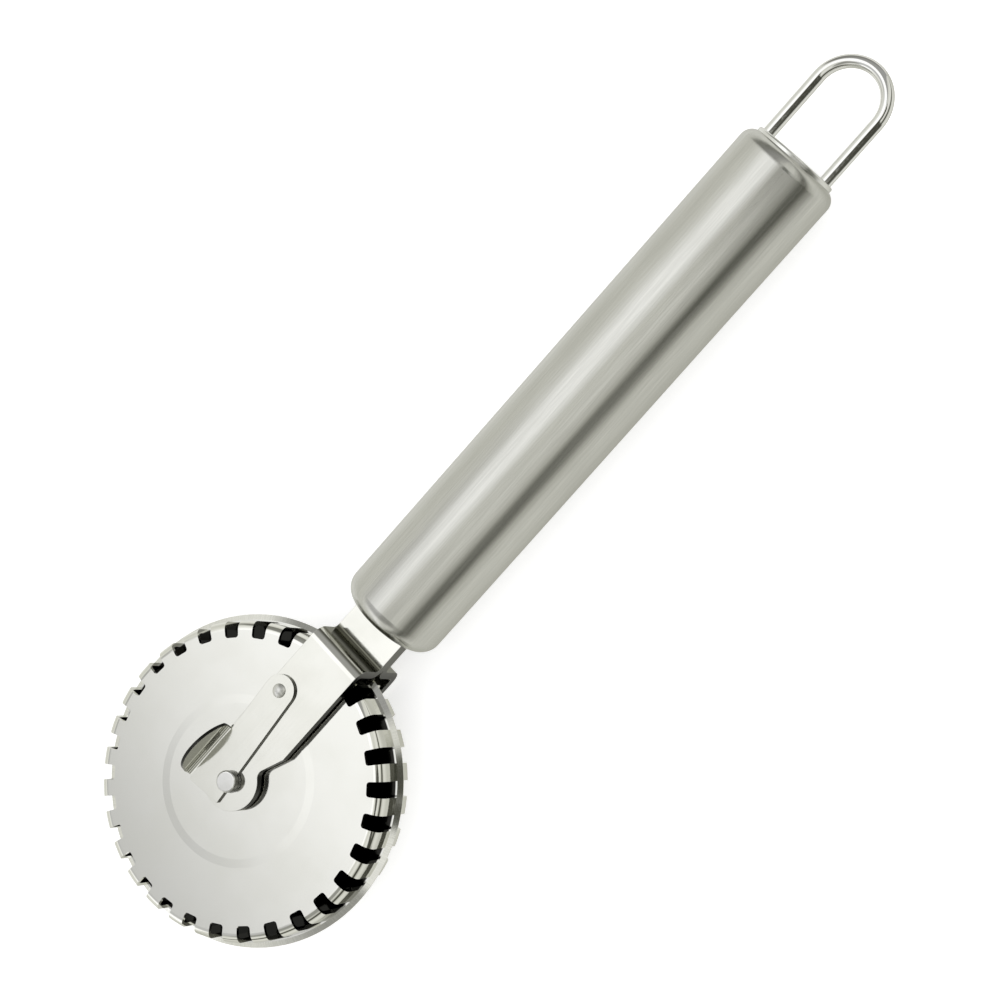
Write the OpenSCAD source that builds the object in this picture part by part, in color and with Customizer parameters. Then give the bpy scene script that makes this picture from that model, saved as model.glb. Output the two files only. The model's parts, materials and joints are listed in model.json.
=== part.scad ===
// Pastry cutter wheel: a plain cutting blade between two slotted crimping discs,
// on a pull-out axle pin that a thumb lever locks in a two-plate fork.
// The tool lies on its side. +X runs from the wheel to the hanging loop and +Z is
// the wheel's axis. Modules are drawn from the axle's centre, and at_axle() moves
// them so that the origin is under the middle of the tool, on the surface it lies on.

/* [Wheel] */
// Diameter of the plain cutting blade
blade_d = 61; // [55:0.5:66]
// Thickness of the cutting blade
blade_t = 1; // [0.8:0.1:1.4]
// Width of the ground bevel along the blade's edge
bevel_w = 1; // [0.5:0.1:1.6]
// Outside diameter of each crimping disc
crimp_d = 58.4; // [53:0.1:60]
// Height of a crimping disc's face over the wheel's middle plane
crimp_h = 6; // [5.6:0.1:6.2]
// Sheet thickness of the crimping discs
crimp_t = 0.8; // [0.6:0.1:1]
// Outside radius of the crimping disc's shoulder
shoulder_r = 1.8; // [1.3:0.1:2.4]
// Slots round each crimping disc
slot_count = 30; // [24:1:36]
// Angle that one slot takes, in degrees
slot_angle = 5.8; // [4:0.1:6.4]
// Radius at which the slots begin on the face
slot_start_r = 26; // [24:0.5:27]
// Diameter of the raised boss on the crimping disc's face
boss_d = 31.4; // [24:0.2:38]
// Height of the boss over the face
boss_h = 0.15; // [0.1:0.05:0.5]
// Width of the boss's sloping flank
boss_flank = 1.6; // [0.6:0.1:2.4]

/* [Axle] */
// Diameter of the axle pin
pin_d = 4; // [3.6:0.1:4.4]
// Diameter of the pin's locking groove
groove_d = 3; // [2.6:0.1:3.2]
// Height of the pin's button end over the wheel's middle plane
pin_top = 10.4; // [9.8:0.1:11]
// Diameter of the pin's far head
pin_head_d = 7; // [5.5:0.5:8]
// Outside diameter of the hub sleeve
hub_d = 6.6; // [6:0.1:7]
// Outside diameter of the two spacers on the hub sleeve
spacer_d = 11; // [9:0.5:14]

/* [Fork] */
// Sheet thickness of the two fork plates
plate_t = 1.6; // [1.4:0.1:1.6]
// Width of each fork plate
plate_w = 11.8; // [11:0.1:13]
// Height of an arm's outer face over the wheel's middle plane
arm_top = 8.4; // [8.3:0.1:8.6]
// Distance from the axle to the place where an arm starts to bend
arm_len = 29.8; // [29.5:0.1:31]
// Inside radius of both bends in a fork plate
bend_r = 0.8; // [0.6:0.1:1]
// Radius of the round eye at the end of each arm
eye_r = 5.4; // [5:0.1:5.8]
// Distance that the fork and handle sit to the side of the axle
side_offset = 1.1; // [0:0.1:1.4]

/* [Release lever] */
// Sheet thickness of the lever
lever_t = 0.6; // [0.5:0.1:0.8]
// Radius of the lever's round end
lever_end_r = 3; // [2.6:0.1:3.4]
// Position of the lever's rivet along the arm
rivet_x = 18.6; // [17:0.1:20]
// Position of the lever's rivet across the arm
rivet_y = 4.3; // [3.6:0.1:4.4]
// Diameter of the rivet's shank
rivet_d = 2; // [1.8:0.1:2.2]
// Diameter of the rivet's domed head
rivet_head_d = 2.6; // [2.5:0.1:3.4]
// Length of the rounded thumb tab along the lever
tab_len = 11.8; // [10:0.1:12]
// Height of the thumb tab over its bend
tab_h = 4.5; // [4:0.1:5.6]
// Angle that the thumb tab is bent up, in degrees
tab_angle = 89; // [80:1:89]

/* [Handle] */
// Outside diameter of the handle tube
handle_d = 19.8; // [19.6:0.1:22]
// Distance from the axle to the middle of the handle's domed front face
handle_front = 38.2; // [37.5:0.1:40]
// Length of the handle tube
handle_len = 109.9; // [95:0.1:125]
// Wall thickness of the handle tube
wall_t = 0.9; // [0.7:0.1:1.2]
// Outside radius of the front shoulder
front_r = 3.4; // [2:0.1:4]
// Outside radius of the shallow dome on the front face
dome_r = 26; // [20:1:60]
// Outside radius of the back shoulder
back_r = 2.5; // [2:0.1:3.4]
// Diameter of the end cap
cap_d = 16.4; // [16.3:0.1:17]
// How far the end cap stands proud of the tube
cap_proud = 0.7; // [0.6:0.1:1.4]

/* [Hanging loop] */
// Diameter of the loop's wire
wire_d = 2.4; // [2:0.1:2.8]
// Distance between the middles of the loop's two legs
loop_w = 13.6; // [12:0.1:13.8]
// Distance from the end cap to the loop's outer end
loop_len = 20.7; // [16:0.1:26]

/* [Hidden] */
$fn = 128;
fit = 0.05;             // radial clearance of a running fit
through = 40;           // length of a cutter that goes right through
past = 1;               // how far a cutter passes the face it cuts

blade_r = blade_d / 2;
blade_edge_t = 0.16;
crimp_r = crimp_d / 2;
slot_corner_r = 0.55;
slot_corner_steps = 4;
boss_top = crimp_h + boss_h;
hub_proud = 0.15;
hub_end = boss_top + hub_proud;

pin_r = pin_d / 2;
pin_head_t = 1.1;
button_edge = 0.35;
lever_gap = 0.05;
lever_low = arm_top + lever_gap;
lever_high = lever_low + lever_t;

arm_low = arm_top - plate_t;
outer_bend_r = bend_r + plate_t;
bend_rise = arm_top - plate_t - bend_r - outer_bend_r;
wall_x = arm_len + bend_r;
tang_start = wall_x + plate_t + bend_r;
tang_in = 8;            // length of tang that stays flat inside the handle
splay_len = 6;
splay_angle = 30;
plate_low_y = side_offset - plate_w / 2;
plate_high_y = side_offset + plate_w / 2;
notch = [10.2, plate_low_y];
taper = [7, plate_high_y];
neck_r = 1.6;
neck_y = -4.6;
neck = [sqrt((eye_r + neck_r) ^ 2 - neck_y ^ 2), neck_y];

rivet = [rivet_x, rivet_y];
lever_tip = [-5.5, 5.8];
lever_corner = [-4.5, -0.95];
tab_x = 1.05;
lever_tab_y = 6.4;
tab_bend_r = 0.9;
tab_step = 0.1;          // the tab's flat is this much narrower at each end
tab_chord = tab_len - 2 * tab_step;
tab_r = (tab_chord ^ 2 / 4 + tab_h ^ 2) / (2 * tab_h);
notch_clear = 0.1;
notch_r = groove_d / 2 + notch_clear;
notch_angle = 13;        // turn of the notch from the lever's side
rivet_head_t = 0.55;

handle_r = handle_d / 2;
handle_back = handle_front + handle_len;
cap_r = cap_d / 2;
cap_t = 2.4;
cap_edge_r = 0.35;
slot_extra = 1;          // room beside the tangs in the handle's slot
wire_r = wire_d / 2;
leg_in = 3.5;
loop_end = handle_back + cap_proud + loop_len;
loop_mid = loop_end - wire_r - loop_w / 2;
origin_x = (loop_end - blade_r) / 2;

// Point where a line from point p touches a circle; side 1 or -1 picks which one
function touch(centre, r, p, side) =
    let (
        away = p - centre,
        turn = atan2(away[1], away[0]) + side * acos(r / norm(away))
    )
    centre + r * [cos(turn), sin(turn)];

module at_axle() {
    translate([-origin_x, 0, handle_r]) children();
}

module at_handle() {
    translate([0, side_offset, 0]) children();
}

// A ring about Z between two heights
module ring(outer_r, inner_r, low, high) {
    translate([0, 0, low])
        difference() {
            cylinder(h = high - low, r = outer_r);
            translate([0, 0, -past]) cylinder(h = high - low + 2 * past, r = inner_r);
        }
}

// A rectangle from the origin whose far corner is rounded
module round_corner(width, height, corner_r) {
    square([width - corner_r, height]);
    square([width, height - corner_r]);
    translate([width - corner_r, height - corner_r]) circle(r = corner_r);
}

module cutting_blade() {
    color("silver")
        at_axle()
            rotate_extrude()
                polygon([
                    [hub_d / 2, -blade_t / 2],
                    [blade_r - bevel_w, -blade_t / 2],
                    [blade_r, -blade_edge_t / 2],
                    [blade_r, blade_edge_t / 2],
                    [blade_r - bevel_w, blade_t / 2],
                    [hub_d / 2, blade_t / 2]
                ]);
}

// Section under the boss's top and its sloping flank, lowered by an amount
module boss_section(drop) {
    polygon([
        [0, 0],
        [boss_d / 2, 0],
        [boss_d / 2, crimp_h - drop],
        [boss_d / 2 - boss_flank, boss_top - drop],
        [0, boss_top - drop]
    ]);
}

// Section of a crimping disc: a shallow cup with a boss, open towards the blade
module crimp_section() {
    difference() {
        union() {
            round_corner(crimp_r, crimp_h, shoulder_r);
            boss_section(0);
        }
        round_corner(crimp_r - crimp_t, crimp_h - crimp_t, shoulder_r - crimp_t);
        boss_section(crimp_t);
        square([crimp_r, blade_t / 2]);
        square([hub_d / 2, crimp_h + past]);
    }
}

// One slot, seen along the axis: radial sides and rounded inner corners
module slot_outline() {
    half = slot_angle / 2;
    end_r = crimp_r + past;
    mid_x = slot_start_r + slot_corner_r;
    mid_y = (mid_x * sin(half) - slot_corner_r) / cos(half);
    corner = [
        for (step = [0 : slot_corner_steps])
            let (turn = 180 - (90 - half) * step / slot_corner_steps)
                [mid_x, mid_y] + slot_corner_r * [cos(turn), sin(turn)]
    ];
    polygon([
        for (side = [-1, 1]) each [
            for (k = [0 : slot_corner_steps])
                let (p = corner[side < 0 ? slot_corner_steps - k : k])
                    [p[0], side * p[1]]
        ],
        end_r * [cos(half), sin(half)],
        end_r * [cos(half), -sin(half)]
    ]);
}

module crimp_disc() {
    difference() {
        rotate_extrude() crimp_section();
        for (k = [0 : slot_count - 1])
            rotate(k * 360 / slot_count)
                linear_extrude(height = through) slot_outline();
    }
}

module near_crimp_disc() {
    color("gainsboro") at_axle() crimp_disc();
}

module far_crimp_disc() {
    color("gainsboro") at_axle() mirror([0, 0, 1]) crimp_disc();
}

module hub_sleeve() {
    color("lightsteelblue")
        at_axle()
            ring(hub_d / 2, pin_r + fit, -hub_end, hub_end);
}

module near_spacer() {
    color("slategray")
        at_axle()
            ring(spacer_d / 2, hub_d / 2, blade_t / 2, boss_top - crimp_t);
}

module far_spacer() {
    color("slategray")
        at_axle()
            mirror([0, 0, 1])
                ring(spacer_d / 2, hub_d / 2, blade_t / 2, boss_top - crimp_t);
}

// Pin with a flat far head, a locking groove and a rounded button end
module axle_pin() {
    color("lightgray")
        at_axle() {
            translate([0, 0, -arm_top]) cylinder(h = arm_top + lever_low, r = pin_r);
            cylinder(h = pin_top - button_edge, r = groove_d / 2);
            translate([0, 0, lever_high + lever_gap])
                rotate_extrude()
                    round_corner(pin_r, pin_top - lever_high - lever_gap, button_edge);
            translate([0, 0, -arm_top])
                mirror([0, 0, 1])
                    rotate_extrude()
                        round_corner(pin_head_d / 2, pin_head_t, button_edge);
        }
}

// A quarter ring of sheet about a line along Y, centred on the fork's middle
module quarter_bend(inner_r, start_angle) {
    translate([0, side_offset + plate_w / 2, 0])
        rotate([90, 0, 0])
            rotate([0, 0, start_angle])
                rotate_extrude(angle = 90)
                    translate([inner_r, 0]) square([plate_t, plate_w]);
}

// Sheet of one fork plate, side on: arm, joggle, tang and splayed tail
module bent_plate() {
    tail_x = handle_front + tang_in;
    translate([-2 * eye_r, -2 * eye_r, arm_low])
        cube([arm_len + 2 * eye_r, 4 * eye_r, plate_t]);
    translate([arm_len, 0, arm_low - bend_r]) quarter_bend(bend_r, 0);
    translate([wall_x, plate_low_y, outer_bend_r])
        cube([plate_t, plate_w, bend_rise]);
    translate([tang_start, 0, outer_bend_r]) quarter_bend(bend_r, 180);
    translate([tang_start, plate_low_y, 0])
        cube([tail_x - tang_start, plate_w, plate_t]);
    translate([tail_x, plate_low_y, 0])
        rotate([0, -splay_angle, 0])
            cube([splay_len, plate_w, plate_t]);
}

// Outline of one fork plate, seen along the wheel's axis
module plate_outline() {
    end_x = handle_front + tang_in + splay_len;
    difference() {
        union() {
            circle(r = eye_r);
            polygon([
                [0, 0],
                eye_r / norm(neck) * neck,
                neck,
                touch(neck, neck_r, notch, 1),
                notch,
                [end_x, plate_low_y],
                [end_x, plate_high_y],
                taper,
                touch([0, 0], eye_r, taper, 1)
            ]);
        }
        translate(neck) circle(r = neck_r);
        circle(r = pin_r + fit);
    }
}

module fork_plate() {
    intersection() {
        bent_plate();
        linear_extrude(height = through) plate_outline();
    }
}

module near_fork_arm() {
    color("silver")
        at_axle()
            difference() {
                fork_plate();
                translate(rivet) cylinder(h = through, r = rivet_d / 2);
            }
}

module far_fork_arm() {
    color("silver") at_axle() mirror([0, 0, 1]) fork_plate();
}

// Outline of the lever's flat, with the notch that holds the pin's groove
module lever_outline() {
    tab_end = [tab_x + tab_len / 2, lever_tab_y];
    difference() {
        union() {
            translate(rivet) circle(r = lever_end_r);
            polygon([
                lever_corner,
                touch(rivet, lever_end_r, lever_corner, 1),
                rivet,
                touch(rivet, lever_end_r, tab_end, -1),
                tab_end,
                [tab_x - tab_len / 2, lever_tab_y],
                lever_tip
            ]);
        }
        circle(r = notch_r);
        rotate(notch_angle)
            translate([-notch_r, -2 * pin_d])
                square([2 * notch_r, 2 * pin_d]);
        translate(rivet) circle(r = rivet_d / 2 + fit);
    }
}

// Rounded thumb tab on its bend, along the lever's free edge
module thumb_tab() {
    translate([tab_x, lever_tab_y, lever_high + tab_bend_r]) {
        rotate([90, 0, 90])
            translate([0, 0, -tab_len / 2])
                rotate([0, 0, -90])
                    rotate_extrude(angle = tab_angle)
                        translate([tab_bend_r, 0]) square([lever_t, tab_len]);
        rotate([tab_angle, 0, 0])
            translate([0, 0, -tab_bend_r - lever_t])
                intersection() {
                    translate([0, tab_h - tab_r, 0]) cylinder(h = lever_t, r = tab_r);
                    translate([-tab_len, 0, 0]) cube([2 * tab_len, tab_len, lever_t]);
                }
    }
}

module release_lever() {
    color("gainsboro")
        at_axle() {
            translate([0, 0, lever_low]) linear_extrude(height = lever_t) lever_outline();
            thumb_tab();
        }
}

// Rivet with a low domed head, peened flush in the near arm
module lever_rivet() {
    head_r = rivet_head_d / 2;
    dome_r = (head_r ^ 2 + rivet_head_t ^ 2) / (2 * rivet_head_t);
    color("lightgray")
        at_axle()
            translate(rivet) {
                translate([0, 0, arm_low])
                    cylinder(h = lever_high + 2 * lever_gap - arm_low, r = rivet_d / 2);
                translate([0, 0, lever_high + lever_gap])
                    intersection() {
                        cylinder(h = rivet_head_t, r = head_r);
                        translate([0, 0, rivet_head_t - dome_r]) sphere(r = dome_r);
                    }
            }
}

// Half section of a solid of the handle's outer shape, drawn in by an amount:
// a shallow dome, a shoulder that is tangent to it, the tube and the back shoulder
module handle_section(inset) {
    dome_mid = [0, handle_front + dome_r];
    shoulder_x = handle_r - front_r;
    shoulder = [shoulder_x, dome_mid[1] - sqrt((dome_r - front_r) ^ 2 - shoulder_x ^ 2)];
    away = (shoulder - dome_mid) / norm(shoulder - dome_mid);
    back_y = handle_back - back_r;
    intersection() {
        translate(dome_mid) circle(r = dome_r - inset);
        polygon([dome_mid, dome_mid + 2 * dome_r * away, dome_mid - [0, 2 * dome_r]]);
    }
    intersection() {
        translate(shoulder) circle(r = front_r - inset);
        polygon([
            shoulder,
            shoulder + 2 * front_r * away,
            shoulder + 2 * front_r * [1, -1],
            shoulder + [2 * front_r, 0]
        ]);
    }
    translate([0, shoulder[1]]) square([handle_r - inset, back_y - shoulder[1]]);
    translate([0, shoulder[1]])
        square([handle_r - back_r, handle_back - inset - shoulder[1]]);
    translate([handle_r - back_r, back_y]) circle(r = back_r - inset);
}

module handle_tube() {
    color("darkgray")
        at_axle()
            at_handle()
                difference() {
                    rotate([0, 90, 0])
                        rotate_extrude()
                            difference() {
                                handle_section(0);
                                handle_section(wall_t);
                                translate([0, handle_back - cap_t])
                                    square([cap_r, 2 * cap_t]);
                            }
                    translate([handle_front - past, -plate_w / 2 - slot_extra, -plate_t])
                        cube([front_r + past, plate_w + slot_extra, 2 * plate_t]);
                }
}

module end_cap() {
    color("gainsboro")
        at_axle()
            at_handle()
                difference() {
                    translate([handle_back + cap_proud - cap_t, 0, 0])
                        rotate([0, 90, 0])
                            rotate_extrude() round_corner(cap_r, cap_t, cap_edge_r);
                    for (side = [-1, 1])
                        translate([handle_back - cap_t, side * loop_w / 2, 0])
                            rotate([0, 90, 0]) cylinder(h = 3 * cap_t, r = wire_r);
                }
}

// Round wire bent into two straight legs and a half circle
module hanging_loop() {
    leg_start = handle_back - leg_in;
    color("gainsboro")
        at_axle()
            at_handle() {
                for (side = [-1, 1])
                    translate([leg_start, side * loop_w / 2, 0])
                        rotate([0, 90, 0]) cylinder(h = loop_mid - leg_start, r = wire_r);
                translate([loop_mid, 0, 0])
                    rotate([0, 0, -90])
                        rotate_extrude(angle = 180)
                            translate([loop_w / 2, 0]) circle(r = wire_r);
            }
}

cutting_blade();
near_crimp_disc();
far_crimp_disc();
hub_sleeve();
near_spacer();
far_spacer();
axle_pin();
near_fork_arm();
far_fork_arm();
release_lever();
lever_rivet();
handle_tube();
end_cap();
hanging_loop();
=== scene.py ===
"""Looks of the pastry cutter wheel: steel finishes, studio surroundings and camera."""

import json
import math

import bpy
from mathutils import Matrix, Vector


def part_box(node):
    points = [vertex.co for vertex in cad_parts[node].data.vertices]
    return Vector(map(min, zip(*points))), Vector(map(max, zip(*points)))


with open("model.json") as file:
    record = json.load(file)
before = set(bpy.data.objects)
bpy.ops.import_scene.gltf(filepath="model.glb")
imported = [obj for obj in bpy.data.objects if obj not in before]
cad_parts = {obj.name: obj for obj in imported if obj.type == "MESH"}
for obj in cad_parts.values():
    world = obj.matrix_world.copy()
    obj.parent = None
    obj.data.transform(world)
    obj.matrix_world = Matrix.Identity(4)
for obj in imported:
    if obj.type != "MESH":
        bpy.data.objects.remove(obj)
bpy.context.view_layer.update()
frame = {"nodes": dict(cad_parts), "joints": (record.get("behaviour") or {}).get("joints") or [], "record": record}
NODES = frame["nodes"]
JOINTS = {joint["name"]: joint for joint in frame["joints"]}
MM = 0.001


def half_width(node):
    low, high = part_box(node)
    return (high.x - low.x) / 2


# Places and sizes from the frame
AXLE = Vector(JOINTS["wheel_spin"]["pos_m"])
RIVET = Vector(JOINTS["lever_swing"]["pos_m"])
DISC_RADIUS = half_width("near_crimp_disc")
BLADE_RADIUS = half_width("cutting_blade")
TUBE_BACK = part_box("handle_tube")[1].x
LEVER_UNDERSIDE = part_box("release_lever")[0].z

# Sizes that the frame doesn't give, close to those of part.scad
LEVER_SHEET = 0.6 * MM
JOGGLE_WALL = 32.2 * MM  # along X from the axle
CUP_WALL = 0.9 * MM
CUP_DEPTH = 5.15 * MM  # from the wheel's middle plane to the cup's inner face
BOSS_FLANK = (12.5 * MM, 13.5 * MM, 16.2 * MM, 17.2 * MM)  # fades in, then out
BLADE_BEVEL = 1.0 * MM
PIN_REACH = 4.75 * MM  # past the pin's button, and short of the rivet
EDGE_RADIUS = 0.12 * MM
# Radii of the edge masks, where edges are lightened for wear and as a painted highlight
WORN_SHEEN_EDGE = 0.15 * MM
WORN_SHEEN_TUBE_EDGE = 0.25 * MM
BUMP_DEPTH = 0.02 * MM
BRUSHED_DEPTH = 0.01 * MM
BEVEL_SAMPLES = 4

# Camera: its place from the axle, and its right and up directions
CAMERA_FROM_AXLE = Vector((138.59, -119.86, 332.26)) * MM
CAMERA_RIGHT = Vector((0.65132, -0.66080, -0.37300))
CAMERA_UP = Vector((0.73454, 0.67238, 0.09146))
LENS_MM = 72.78
SENSOR_MM = 36.0


# ---------------------------------------------------------------- node helpers
class Graph:
    """Adds nodes to a tree and links them; inputs may be values or other sockets."""

    def __init__(self, tree):
        self.tree = tree
        tree.nodes.clear()

    def put(self, socket, value):
        if isinstance(value, bpy.types.NodeSocket):
            self.tree.links.new(value, socket)
        elif value is not None:
            socket.default_value = value

    def node(self, kind, settings=None, **inputs):
        n = self.tree.nodes.new(kind)
        for key, value in (settings or {}).items():
            setattr(n, key, value)
        for key, value in inputs.items():
            self.put(n.inputs[key.replace("_", " ")], value)
        return n

    def math(self, operation, a, b=None, clamp=False):
        n = self.node("ShaderNodeMath", {"operation": operation, "use_clamp": clamp})
        self.put(n.inputs[0], a)
        self.put(n.inputs[1], b)
        return n.outputs[0]

    def plus(self, a, b):
        return self.math("ADD", a, b)

    def minus(self, a, b, clamp=False):
        return self.math("SUBTRACT", a, b, clamp)

    def times(self, a, b):
        return self.math("MULTIPLY", a, b)

    def over(self, a, b):
        return self.math("DIVIDE", a, b)

    def larger(self, a, b):
        return self.math("MAXIMUM", a, b)

    def size(self, a):
        return self.math("ABSOLUTE", a)

    def step(self, value, low, high, out_low=0.0, out_high=1.0):
        """A smooth rise from out_low to out_high as the value goes from low to high."""
        n = self.node("ShaderNodeMapRange", {"interpolation_type": "SMOOTHSTEP"})
        for socket, v in zip(n.inputs, (value, low, high, out_low, out_high)):
            self.put(socket, v)
        return n.outputs[0]

    def above(self, value, edge, soft):
        return self.step(value, edge - soft, edge + soft)

    def below(self, value, edge, soft):
        return self.step(value, edge - soft, edge + soft, 1.0, 0.0)

    def window(self, value, a, b, c, d):
        """0, rising from a to b, 1, falling from c to d, and 0 again."""
        return self.times(self.step(value, a, b), self.step(value, c, d, 1.0, 0.0))

    def mix(self, factor, a, b, blend="MIX"):
        n = self.node("ShaderNodeMix", {"data_type": "RGBA", "blend_type": blend})
        self.put(n.inputs[0], factor)
        self.put(n.inputs[6], a)
        self.put(n.inputs[7], b)
        return n.outputs[2]

    def noise(self, vector, scale, detail=3.0, rough=0.5):
        n = self.node(
            "ShaderNodeTexNoise",
            Vector=vector,
            Scale=scale,
            Detail=detail,
            Roughness=rough,
        )
        return n.outputs["Fac"]

    def split(self, vector):
        return self.node("ShaderNodeSeparateXYZ", Vector=vector).outputs

    def join(self, x, y, z):
        return self.node("ShaderNodeCombineXYZ", X=x, Y=y, Z=z).outputs[0]

    def coordinates(self, kind):
        return self.node("ShaderNodeTexCoord").outputs[kind]

    def rounded(self, radius):
        """The normal as if sharp edges had this radius."""
        settings = {"samples": BEVEL_SAMPLES}
        return self.node("ShaderNodeBevel", settings, Radius=radius).outputs[0]


def grey(value, warmth=0.0):
    return (value, value, value * (1 - warmth), 1.0)


# ------------------------------------------------------------------- materials
def steel(name, build):
    """A metal whose colour, roughness and bump come from build(graph, coordinates)."""
    material = bpy.data.materials.new(name)
    material.use_nodes = True
    g = Graph(material.node_tree)
    look = build(g, g.coordinates("Object"))
    shader = g.node(
        "ShaderNodeBsdfPrincipled",
        Base_Color=look["color"],
        Roughness=look["roughness"],
        Metallic=1.0,
    )
    if "anisotropic" in look:
        shader.inputs["Anisotropic"].default_value = look["anisotropic"]
        g.put(shader.inputs["Tangent"], look["tangent"])
    bump = g.node(
        "ShaderNodeBump",
        Height=look["height"],
        Strength=look["bump"],
        Distance=look.get("depth", BUMP_DEPTH),
        Normal=look.get("normal"),
    )
    g.put(shader.inputs["Normal"], bump.outputs[0])
    out = g.node("ShaderNodeOutputMaterial")
    g.put(out.inputs["Surface"], shader.outputs[0])
    return material


def edge_mask(g, radius):
    """1 along sharp edges, 0 on open faces: callers lighten edges there for wear and as a painted highlight."""
    dot = g.node("ShaderNodeVectorMath", {"operation": "DOT_PRODUCT"})
    g.put(dot.inputs[0], g.rounded(radius))
    g.put(dot.inputs[1], g.node("ShaderNodeNewGeometry").outputs["True Normal"])
    return g.step(dot.outputs["Value"], 0.995, 0.9)


def two_tone(g, noise, first, second, low=0.35, high=0.7):
    """One grey that runs into another where the noise is high."""
    return g.mix(g.step(noise, low, high), grey(*first), grey(*second))


def from_centre(g, place, centre):
    """Distance from an upright line through a centre, and the two offsets from it."""
    x, y, _ = g.split(place)
    dx = g.minus(x, centre.x)
    dy = g.minus(y, centre.y)
    radius = g.math("SQRT", g.plus(g.times(dx, dx), g.times(dy, dy)))
    return radius, dx, dy


def around_axle(g, place):
    """Radius from the axle, height over the wheel's middle plane, and angle."""
    radius, dx, dy = from_centre(g, place, AXLE)
    height = g.size(g.minus(g.split(place)[2], AXLE.z))
    return radius, height, g.math("ARCTAN2", dy, dx)


def mirror_steel(g, place):
    """The crimping discs: polished outside; inside the cup dull and painted near black as shade."""
    radius, height, angle = around_axle(g, place)
    rings = g.noise(g.join(g.times(radius, 9.0), angle, 0.0), 900.0, 2.0)
    cloud = g.noise(place, 90.0)
    wear_and_sheen = edge_mask(g, WORN_SHEEN_EDGE)
    # Inside the cup the colour is painted near black as shade, and the roughness is raised
    shaded_inside = g.times(
        g.below(radius, DISC_RADIUS - CUP_WALL, 0.05 * MM),
        g.below(height, CUP_DEPTH, 0.05 * MM),
    )
    # The boss is pressed, so its flank runs softly into the face
    nx, ny, nz = g.split(g.node("ShaderNodeNewGeometry").outputs["Normal"])
    facing = g.step(g.size(nz), 0.97, 0.98)
    flank = g.times(g.window(radius, *BOSS_FLANK), facing)
    keep = g.minus(1.0, g.times(flank, 0.85))
    soft = g.node("ShaderNodeVectorMath", {"operation": "NORMALIZE"})
    g.put(soft.inputs[0], g.join(g.times(nx, keep), g.times(ny, keep), nz))
    face = two_tone(g, cloud, (0.84, 0.05), (0.81, 0.06))
    # Edges lightened for wear and as a painted highlight
    face = g.mix(g.times(wear_and_sheen, 0.5), face, grey(0.92, 0.03))
    rough = g.plus(
        g.step(cloud, 0.3, 0.75, 0.05, 0.10), g.step(rings, 0.5, 0.8, 0.0, 0.04)
    )
    return {
        "color": g.mix(shaded_inside, face, grey(0.015, 0.1)),
        "roughness": g.larger(rough, g.times(shaded_inside, 0.6)),
        "height": rings,
        "bump": 0.04,
        "normal": soft.outputs[0],
    }


def ground_steel(g, place):
    """The blade: ground round the axle and across its bevel, with painted shade under the cups."""
    radius, _, angle = around_axle(g, place)
    lines = g.noise(g.join(g.times(radius, 14.0), angle, 0.0), 1200.0)
    cross = g.noise(g.join(g.times(radius, 0.3), angle, 0.0), 260.0, 2.0)
    bevel = g.above(radius, BLADE_RADIUS - BLADE_BEVEL, 0.05 * MM)
    # Under the cups the blade is painted near black as shade
    shaded_under_cups = g.below(radius, DISC_RADIUS, 0.1 * MM)
    flat = two_tone(g, lines, (0.70, 0.05), (0.76, 0.05), 0.4, 0.65)
    edge = two_tone(g, cross, (0.80, 0.04), (0.88, 0.04), 0.4, 0.65)
    rough = g.step(lines, 0.35, 0.7, 0.06, 0.10)
    return {
        "color": g.mix(shaded_under_cups, g.mix(bevel, flat, edge), grey(0.02, 0.1)),
        "roughness": g.plus(rough, g.times(bevel, 0.03)),
        "height": g.plus(lines, g.times(cross, bevel)),
        "bump": 0.03,
    }


def plain_steel(g, place):
    """The hub and spacers: turned, unpolished and hardly seen."""
    radius, height, _ = around_axle(g, place)
    turns = g.noise(g.join(radius, g.times(height, 20.0), 0.0), 1500.0, 2.0)
    cloud = g.noise(place, 200.0)
    return {
        "color": two_tone(g, cloud, (0.40, 0.05), (0.50, 0.05)),
        "roughness": g.step(turns, 0.35, 0.7, 0.30, 0.42),
        "height": turns,
        "bump": 0.15,
    }


def turned_steel(g, place):
    """The pin and rivet: fine turning marks about each one's own axis."""
    radius, height, _ = around_axle(g, place)
    turn_radius = g.math("MINIMUM", radius, from_centre(g, place, RIVET)[0])
    turns = g.noise(g.join(turn_radius, height, 0.0), 3500.0, 2.0)
    cloud = g.noise(place, 300.0)
    upright = g.size(g.split(g.coordinates("Normal"))[2])
    on_pin = g.below(radius, PIN_REACH, 0.25 * MM)
    # The pin's side wall is painted dark as shade, and made rougher
    matt_shaded_side = g.times(g.step(upright, 0.3, 0.6, 1.0, 0.0), on_pin)
    face = two_tone(g, cloud, (0.80, 0.02), (0.72, 0.03))
    # The rivet is duller than the pin's turned button, and the pin's side is matt and painted dark as shade
    rough = g.step(turns, 0.35, 0.7, 0.34, 0.40)
    rough = g.minus(rough, g.times(on_pin, 0.24))
    return {
        "color": g.mix(matt_shaded_side, face, grey(0.20, 0.06)),
        "roughness": g.plus(rough, g.times(matt_shaded_side, 0.18)),
        "height": turns,
        "bump": 0.005,
        "normal": g.rounded(EDGE_RADIUS),
    }


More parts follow.
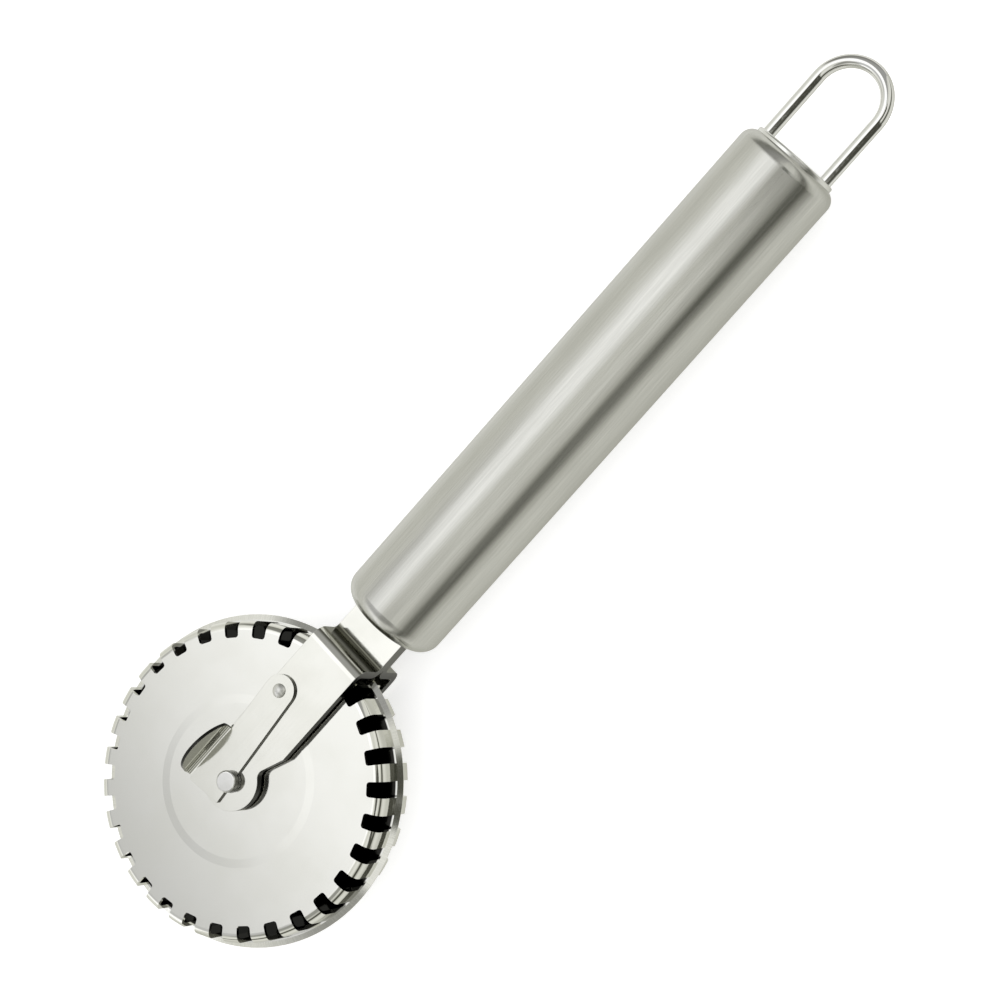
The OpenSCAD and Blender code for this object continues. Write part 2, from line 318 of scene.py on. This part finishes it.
def polished_plate(g, place):
    """The fork plates and lever: polished faces, cut sides painted dark as shade, and a painted dark reflection on
    the joggle.
    """
    x, y, z = g.split(place)
    rolled = g.noise(g.join(g.times(x, 0.06), y, z), 2600.0, 2.0)
    cloud = g.noise(place, 110.0)
    ahead, across, upright = g.split(g.coordinates("Normal"))
    across = g.size(across)
    # The cut sides look sideways. On the tab they are the rim of a standing sheet
    sheared = g.step(across, 0.15, 0.35)
    sheared = g.times(sheared, g.step(g.size(upright), 0.25, 0.4, 1.0, 0.0))
    on_tab = g.above(z, LEVER_UNDERSIDE + LEVER_SHEET + 0.07 * MM, 0.02 * MM)
    tab_rim = g.times(on_tab, g.step(across, 0.3, 0.5, 1.0, 0.0))
    below_tab = g.times(sheared, g.minus(1.0, on_tab))
    # The cut sides are painted dark as shade
    shaded_cut_side = g.larger(below_tab, tab_rim)
    # A painted dark reflection on the joggle's wall and corner, with a painted light line of reflection left
    # across it
    from_wall = g.minus(x, AXLE.x + JOGGLE_WALL)
    corner = g.window(from_wall, -0.05 * MM, 0.1 * MM, 0.7 * MM, 1.3 * MM)
    joggle_dark_reflection = g.larger(g.step(ahead, 0.55, 0.8), corner)
    painted_light_line = g.window(from_wall, -0.60 * MM, -0.45 * MM, -0.25 * MM, -0.1 * MM)
    joggle_dark_reflection = g.minus(joggle_dark_reflection, g.times(painted_light_line, 0.8), clamp=True)
    wear_and_sheen = edge_mask(g, WORN_SHEEN_EDGE)
    face = two_tone(g, cloud, (0.84, 0.06), (0.79, 0.07))
    face = g.mix(joggle_dark_reflection, face, grey(0.16, 0.22))
    # The painted shade on the cut sides is darkest short of the joggle's wall
    past_wall = g.step(from_wall, -2.0 * MM, 1.5 * MM)
    cut_shade_tone = g.mix(past_wall, grey(0.03, 0.1), grey(0.14, 0.1))
    # Edges lightened for wear and as a painted highlight, less on the shaded cut sides
    worn_sheen = g.times(wear_and_sheen, g.minus(0.4, g.times(shaded_cut_side, 0.35)))
    rough = g.step(rolled, 0.35, 0.7, 0.08, 0.13)
    return {
        "color": g.mix(worn_sheen, g.mix(shaded_cut_side, face, cut_shade_tone), grey(0.90, 0.01)),
        "roughness": g.plus(rough, g.times(shaded_cut_side, 0.2)),
        "height": rolled,
        "bump": 0.05,
        "normal": g.rounded(EDGE_RADIUS),
    }


def brushed_handle(g, place):
    """The tube and end cap: long brush marks, and a polished rim on the cap."""
    x, y, z = g.split(place)
    along = g.join(g.times(x, 0.025), y, z)
    fine = g.noise(along, 5200.0, rough=0.6)
    broad = g.noise(along, 900.0, 2.0)
    cloud = g.noise(place, 60.0)
    wear_and_sheen = edge_mask(g, WORN_SHEEN_TUBE_EDGE)
    face = two_tone(g, fine, (0.61, 0.05), (0.67, 0.05), 0.3)
    face = g.mix(g.step(cloud, 0.35, 0.7, 0.0, 0.35), face, grey(0.58, 0.06))
    # Edges lightened for wear and as a painted highlight
    face = g.mix(g.times(wear_and_sheen, 0.5), face, grey(0.82, 0.03))
    on_cap = g.above(x, TUBE_BACK + 0.04 * MM, 0.02 * MM)
    tangent = g.node("ShaderNodeTangent", {"direction_type": "RADIAL", "axis": "X"})
    return {
        "color": g.mix(on_cap, face, grey(0.84, 0.03)),
        "roughness": g.step(broad, 0.3, 0.7, 0.20, 0.27),
        "height": g.plus(fine, g.times(broad, 0.5)),
        "bump": 0.12,
        "depth": BRUSHED_DEPTH,
        "anisotropic": 0.6,
        "tangent": tangent.outputs[0],
    }


def mirror_wire(g, place):
    """The hanging loop: bright drawn wire."""
    drawn = g.noise(place, 1400.0, 2.0)
    cloud = g.noise(place, 150.0)
    return {
        "color": two_tone(g, cloud, (0.86, 0.02), (0.80, 0.03)),
        "roughness": g.step(drawn, 0.35, 0.7, 0.05, 0.09),
        "height": drawn,
        "bump": 0.02,
    }


FINISHES = {
    "mirror_steel": mirror_steel,
    "ground_steel": ground_steel,
    "plain_steel": plain_steel,
    "turned_steel": turned_steel,
    "polished_plate": polished_plate,
    "brushed_handle": brushed_handle,
    "mirror_wire": mirror_wire,
}
made = {slot: steel(slot, build) for slot, build in FINISHES.items()}
for part in frame["record"]["subparts"]:
    node = NODES[part["node"]]
    node.data.materials.clear()
    node.data.materials.append(made[part["material_slot"]])

# ------------------------------------------------------------- floor and light
FLOOR_HALF = 8.0
floor_mesh = bpy.data.meshes.new("floor")
corners = [(-1, -1), (1, -1), (1, 1), (-1, 1)]
floor_mesh.from_pydata(
    [(x * FLOOR_HALF, y * FLOOR_HALF, 0) for x, y in corners], [], [(0, 1, 2, 3)]
)
floor = bpy.data.objects.new("floor", floor_mesh)
bpy.context.scene.collection.objects.link(floor)
paper = bpy.data.materials.new("pale_floor")
paper.use_nodes = True
g = Graph(paper.node_tree)
sheet = g.node(
    "ShaderNodeBsdfPrincipled",
    Base_Color=(0.86, 0.86, 0.86, 1.0),
    Roughness=0.9,
    Specular_IOR_Level=0.0,
    Emission_Color=(1.0, 1.0, 1.0, 1.0),
    Emission_Strength=0.5,
)
g.node("ShaderNodeOutputMaterial", Surface=sheet.outputs[0])
floor.data.materials.append(paper)
floor.visible_glossy = False

# Surroundings seen in the steel. The bands run along the handle: each stop is an
# angle about +X from straight down, through the +Y side, and a brightness.
BANDS = [
    (0, 0.55), (60, 0.90), (96, 0.70), (120, 0.78), (139, 0.98), (147, 1.20),
    (158, 1.27), (172, 1.27), (178, 1.15), (183, 0.78), (191, 0.72), (210, 0.88),
    (223, 0.80), (233, 0.52), (240, 0.09), (255, 0.07), (262, 0.55), (280, 0.80),
    (310, 0.76), (347, 0.58), (360, 0.55),
]
DARK = (0.035, 0.035, 0.028, 1.0)
DIM = (0.165, 0.165, 0.152, 1.0)
EVEN_LIGHT = 0.5
WORLD_STRENGTH = 2.0
# A quarter turn puts the zero straight down, and a whole one keeps it positive
BAND_START = 1.25


def olive(level):
    """A grey that turns to olive as it darkens, halved to fit a colour ramp."""
    return (level / 2, level / 2, level / 2 * min(1.0, 0.81 + 0.16 * level), 1.0)


world = bpy.data.worlds.new("studio")
bpy.context.scene.world = world
world.use_nodes = True
g = Graph(world.node_tree)
x, y, z = g.split(g.coordinates("Generated"))
turn_share = g.over(g.math("ARCTAN2", z, y), 2 * math.pi)
turn_share = g.math("FRACT", g.plus(turn_share, BAND_START))
degrees_round = g.times(turn_share, 360.0)
ramp = g.node("ShaderNodeValToRGB", Fac=turn_share)
elements = ramp.color_ramp.elements
for k, (degrees, level) in enumerate(BANDS):
    element = elements[k] if k < 2 else elements.new(degrees / 360)
    element.position = degrees / 360
    element.color = olive(level)

# Past the front end of the handle the light above falls off towards -X
up_z = g.larger(z, 0.1)
lean = g.minus(g.over(x, up_z), g.times(g.over(y, up_z), 0.2))
fall = g.plus(
    g.step(lean, -0.62, -0.42, 0.46, 0.86), g.step(lean, -0.42, -0.34, 0.0, 0.14)
)
overhead = g.step(z, 0.5, 0.7)
fall = g.plus(g.times(g.minus(fall, 1.0), overhead), 1.0)
# Dark screens that stand still round the tool. Each covers a range of angles about
# the handle and a range of x, the direction's share along the handle.
back_screen = g.times(
    g.window(degrees_round, 181.0, 185.0, 274.0, 282.0),
    g.window(x, 0.012, 0.035, 0.13, 0.17),
)
top_screen = g.times(
    g.window(degrees_round, 188.0, 192.0, 207.0, 211.0),
    g.window(x, 0.13, 0.17, 0.38, 0.44),
)
front_screen = g.times(
    g.window(degrees_round, 181.0, 185.0, 212.0, 220.0),
    g.window(x, -0.70, -0.55, -0.33, -0.29),
)
far_screen = g.times(
    g.window(degrees_round, 90.0, 100.0, 178.0, 184.0),
    g.step(x, 0.16, 0.30, 0.0, 0.75),
)
grey_fall = g.node("ShaderNodeCombineColor", Red=fall, Green=fall, Blue=fall)
glow = g.mix(1.0, ramp.outputs[0], grey_fall.outputs[0], blend="MULTIPLY")
glow = g.mix(g.larger(g.larger(back_screen, top_screen), far_screen), glow, DARK)
glow = g.mix(front_screen, glow, DIM)
# The floor and the view itself are lit by plain even light
rays = g.node("ShaderNodeLightPath").outputs
plain = g.larger(rays["Is Camera Ray"], rays["Is Diffuse Ray"])
glow = g.mix(plain, glow, grey(EVEN_LIGHT))
back = g.node("ShaderNodeBackground", Color=glow, Strength=WORLD_STRENGTH)
g.node("ShaderNodeOutputWorld", Surface=back.outputs[0])

# ---------------------------------------------------------------------- camera
camera_data = bpy.data.cameras.new("camera")
camera_data.lens = LENS_MM
camera_data.sensor_width = SENSOR_MM
camera_data.clip_start = 0.01
camera_data.clip_end = 100.0
camera = bpy.data.objects.new("camera", camera_data)
bpy.context.scene.collection.objects.link(camera)
right = CAMERA_RIGHT.normalized()
back_way = right.cross(CAMERA_UP).normalized()
up = back_way.cross(right)
turn = Matrix((right, up, back_way)).transposed()
camera.matrix_world = Matrix.Translation(AXLE + CAMERA_FROM_AXLE) @ turn.to_4x4()
bpy.context.scene.camera = camera
bpy.context.scene.view_settings.view_transform = "Standard"
